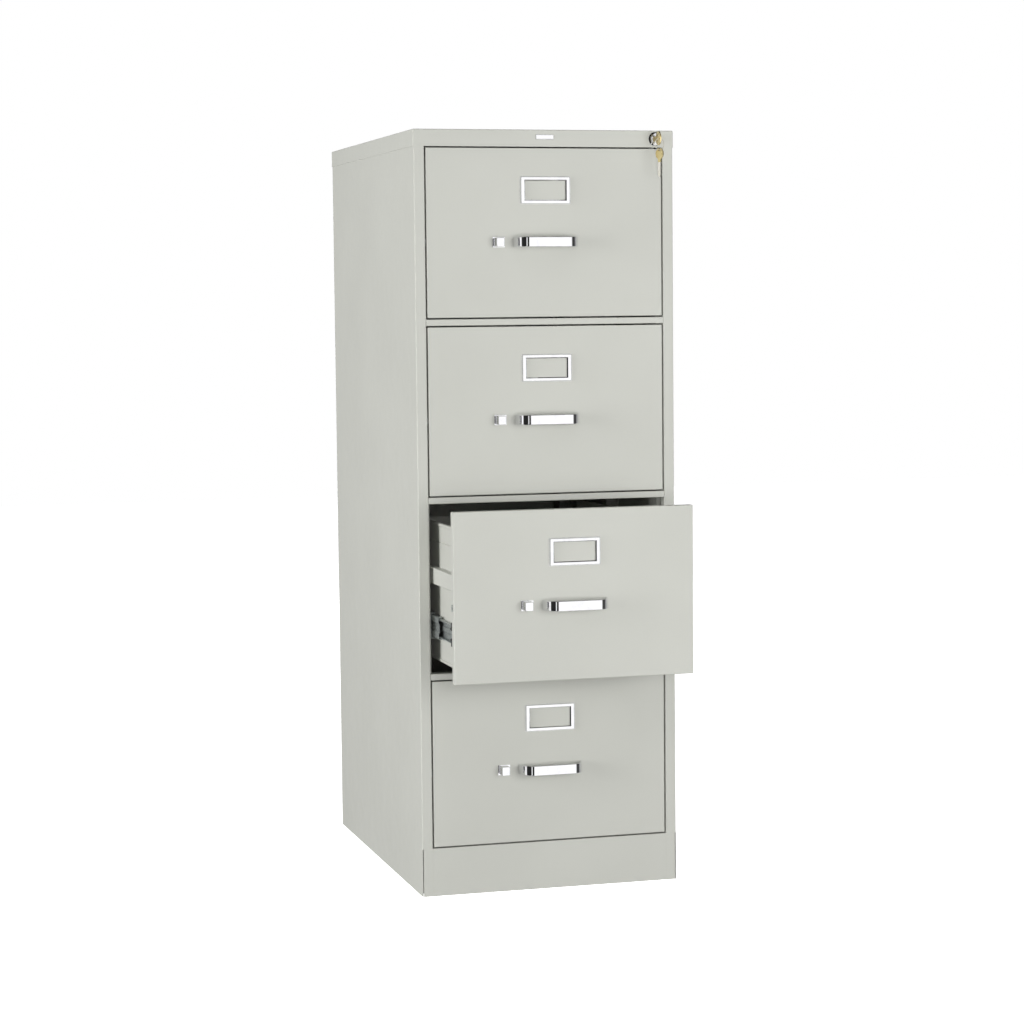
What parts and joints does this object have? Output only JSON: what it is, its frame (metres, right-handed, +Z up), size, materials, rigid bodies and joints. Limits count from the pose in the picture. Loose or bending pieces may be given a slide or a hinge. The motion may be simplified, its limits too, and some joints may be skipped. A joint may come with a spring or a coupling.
{
  "type": "filing cabinet",
  "caption": "Tall steel filing cabinet with full-extension drawers, bow pulls, sliding thumb latches, label holders and a key lock.",
  "frame": {"origin": "centre of the case's footprint, on the floor", "axes": "+X right seen from the front, +Y towards the back, +Z up; drawers open towards -Y"},
  "size_m": [0.466, 0.86, 1.3208],
  "materials": {
    "putty_paint": "fine-textured semi-gloss baked enamel, light grey",
    "chrome": "bright chrome plate",
    "zinc_steel": "zinc-plated steel",
    "brass": "polished brass"
  },
  "bodies": {
    "case": {"case_side_left": "putty_paint", "case_side_right": "putty_paint", "case_top": "putty_paint", "case_back": "putty_paint", "kick_plate": "putty_paint", "front_rails": "putty_paint", "inner_uprights": "putty_paint", "base_frame": "putty_paint", "lock_housing": "chrome", "lock_bar_guides": "zinc_steel", "badge_plate": "chrome", "latch_strikes": "zinc_steel", "slide_case_members": "zinc_steel", "case_fasteners": "zinc_steel"},
    "lock_plug": {"lock_plug": "chrome", "key_in_lock": "brass", "lock_cam": "zinc_steel"},
    "lock_bar": {"lock_bar": "zinc_steel"},
    "key_ring": {"key_ring": "chrome"},
    "spare_key": {"spare_key": "brass"},
    "drawer_1": {"drawer_1_tray": "putty_paint", "drawer_1_front": "putty_paint", "drawer_1_front_liner": "putty_paint", "drawer_1_label_holder": "chrome", "drawer_1_pull": "chrome", "drawer_1_runners": "zinc_steel"},
    "slide_middle_1": {"drawer_1_slide_middle": "zinc_steel"},
    "latch_1": {"drawer_1_latch_button": "chrome", "drawer_1_latch_bar": "zinc_steel"},
    "follower_1": {"drawer_1_follower": "putty_paint"},
    "drawer_2": {"drawer_2_tray": "putty_paint", "drawer_2_front": "putty_paint", "drawer_2_front_liner": "putty_paint", "drawer_2_label_holder": "chrome", "drawer_2_pull": "chrome", "drawer_2_runners": "zinc_steel"},
    "slide_middle_2": {"drawer_2_slide_middle": "zinc_steel"},
    "latch_2": {"drawer_2_latch_button": "chrome", "drawer_2_latch_bar": "zinc_steel"},
    "follower_2": {"drawer_2_follower": "putty_paint"},
    "drawer_3": {"drawer_3_tray": "putty_paint", "drawer_3_front": "putty_paint", "drawer_3_front_liner": "putty_paint", "drawer_3_label_holder": "chrome", "drawer_3_pull": "chrome", "drawer_3_runners": "zinc_steel"},
    "slide_middle_3": {"drawer_3_slide_middle": "zinc_steel"},
    "latch_3": {"drawer_3_latch_button": "chrome", "drawer_3_latch_bar": "zinc_steel"},
    "follower_3": {"drawer_3_follower": "putty_paint"},
    "drawer_4": {"drawer_4_tray": "putty_paint", "drawer_4_front": "putty_paint", "drawer_4_front_liner": "putty_paint", "drawer_4_label_holder": "chrome", "drawer_4_pull": "chrome", "drawer_4_runners": "zinc_steel"},
    "slide_middle_4": {"drawer_4_slide_middle": "zinc_steel"},
    "latch_4": {"drawer_4_latch_button": "chrome", "drawer_4_latch_bar": "zinc_steel"},
    "follower_4": {"drawer_4_follower": "putty_paint"}
  },
  "joints": [
    {"name": "drawer_1_slide", "type": "slide", "parent": "case", "child": "drawer_1", "axis": [0, -1, 0], "range_m": [0, 0.6]},
    {"name": "drawer_1_middle_slide", "type": "slide", "parent": "case", "child": "slide_middle_1", "axis": [0, -1, 0], "range_m": [0, 0.3]},
    {"name": "drawer_1_latch", "type": "slide", "parent": "drawer_1", "child": "latch_1", "axis": [1, 0, 0], "range_m": [0, 0.008], "stiffness_N_per_m": 300, "springref_m": -0.004},
    {"name": "drawer_1_follower_slide", "type": "slide", "parent": "drawer_1", "child": "follower_1", "axis": [0, 1, 0], "range_m": [-0.4, 0]},
    {"name": "drawer_2_slide", "type": "slide", "parent": "case", "child": "drawer_2", "axis": [0, -1, 0], "range_m": [0, 0.6]},
    {"name": "drawer_2_middle_slide", "type": "slide", "parent": "case", "child": "slide_middle_2", "axis": [0, -1, 0], "range_m": [0, 0.3]},
    {"name": "drawer_2_latch", "type": "slide", "parent": "drawer_2", "child": "latch_2", "axis": [1, 0, 0], "range_m": [0, 0.008], "stiffness_N_per_m": 300, "springref_m": -0.004},
    {"name": "drawer_2_follower_slide", "type": "slide", "parent": "drawer_2", "child": "follower_2", "axis": [0, 1, 0], "range_m": [-0.4, 0]},
    {"name": "drawer_3_slide", "type": "slide", "parent": "case", "child": "drawer_3", "axis": [0, -1, 0], "range_m": [-0.157, 0.443]},
    {"name": "drawer_3_middle_slide", "type": "slide", "parent": "case", "child": "slide_middle_3", "axis": [0, -1, 0], "range_m": [-0.0785, 0.2215]},
    {"name": "drawer_3_latch", "type": "slide", "parent": "drawer_3", "child": "latch_3", "axis": [1, 0, 0], "range_m": [0, 0.008], "stiffness_N_per_m": 300, "springref_m": -0.004},
    {"name": "drawer_3_follower_slide", "type": "slide", "parent": "drawer_3", "child": "follower_3", "axis": [0, 1, 0], "range_m": [-0.4, 0]},
    {"name": "drawer_4_slide", "type": "slide", "parent": "case", "child": "drawer_4", "axis": [0, -1, 0], "range_m": [0, 0.6]},
    {"name": "drawer_4_middle_slide", "type": "slide", "parent": "case", "child": "slide_middle_4", "axis": [0, -1, 0], "range_m": [0, 0.3]},
    {"name": "drawer_4_latch", "type": "slide", "parent": "drawer_4", "child": "latch_4", "axis": [1, 0, 0], "range_m": [0, 0.008], "stiffness_N_per_m": 300, "springref_m": -0.004},
    {"name": "drawer_4_follower_slide", "type": "slide", "parent": "drawer_4", "child": "follower_4", "axis": [0, 1, 0], "range_m": [-0.4, 0]},
    {"name": "lock_turn", "type": "hinge", "parent": "case", "child": "lock_plug", "pos_m": [0.2, -0.33655, 1.3063], "axis": [0, -1, 0], "range_deg": [0, 90]},
    {"name": "lock_bar_lift", "type": "slide", "parent": "case", "child": "lock_bar", "axis": [0, 0, 1], "range_m": [0, 0.01]},
    {"name": "key_ring_swing", "type": "hinge", "parent": "lock_plug", "child": "key_ring", "pos_m": [0.2, -0.36105, 1.3063], "axis": [-1, 0, 0], "range_deg": [-10, 80]},
    {"name": "spare_key_swing", "type": "hinge", "parent": "key_ring", "child": "spare_key", "pos_m": [0.2, -0.36105, 1.2863], "axis": [-0.9272, -0.3746, 0], "range_deg": [-10, 60]}
  ],
  "couplings": [
    {"joint": "drawer_1_middle_slide", "follows": "drawer_1_slide", "ratio": 0.5},
    {"joint": "drawer_2_middle_slide", "follows": "drawer_2_slide", "ratio": 0.5},
    {"joint": "drawer_3_middle_slide", "follows": "drawer_3_slide", "ratio": 0.5},
    {"joint": "drawer_4_middle_slide", "follows": "drawer_4_slide", "ratio": 0.5},
    {"joint": "lock_turn", "follows": "lock_bar_lift", "rad_per_m": 157.07}
  ]
}
